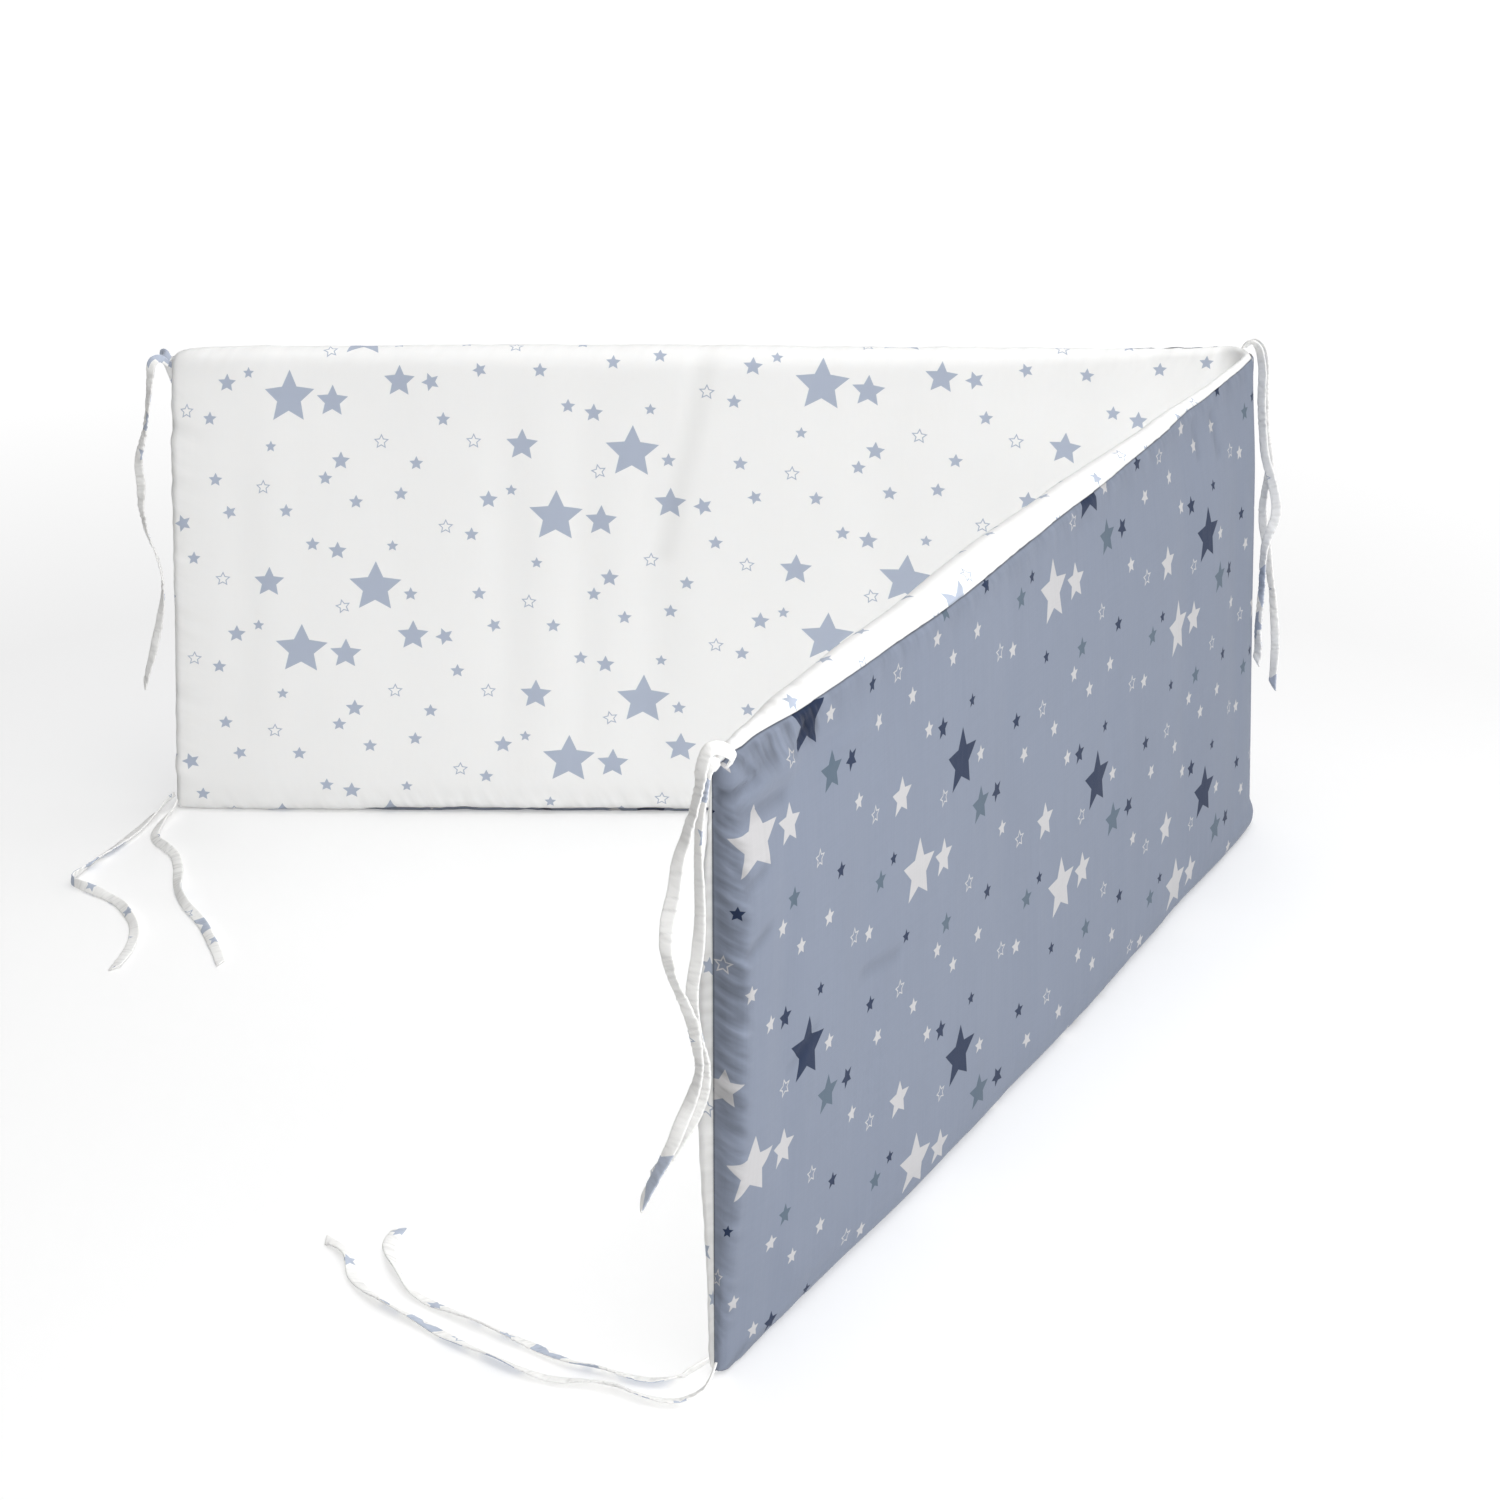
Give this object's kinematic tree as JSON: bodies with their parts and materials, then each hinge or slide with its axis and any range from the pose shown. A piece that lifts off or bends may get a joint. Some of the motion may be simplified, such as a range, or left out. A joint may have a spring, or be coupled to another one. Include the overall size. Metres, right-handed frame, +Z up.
{
  "type": "crib bumper",
  "caption": "Long padded cloth bumper standing on edge, folded into a V at a soft pinched fold, with free ribbon ties sewn into its corners and into the fold.",
  "frame": {"origin": "on the standing surface, under the middle of the pad's box", "axes": "+Z up, +X to the right along the left half, towards the fold; +Y away from the viewer, from the near end to the fold"},
  "size_m": [0.7233, 0.6356, 0.3102],
  "materials": {
    "padded_cloth": "matt printed cotton over soft filling",
    "ribbon_cloth": "matt printed cotton ribbon"
  },
  "bodies": {
    "root": {"padded_panel": "padded_cloth", "tie_left_top_front": "ribbon_cloth", "tie_left_top_back": "ribbon_cloth", "tie_left_bottom_left": "ribbon_cloth", "tie_left_bottom_right": "ribbon_cloth", "tie_near_top_left": "ribbon_cloth", "tie_near_top_right": "ribbon_cloth", "tie_near_bottom_right": "ribbon_cloth", "tie_near_bottom_left": "ribbon_cloth", "tie_fold_top_front": "ribbon_cloth", "tie_fold_top_back": "ribbon_cloth"}
  },
  "joints": []
}
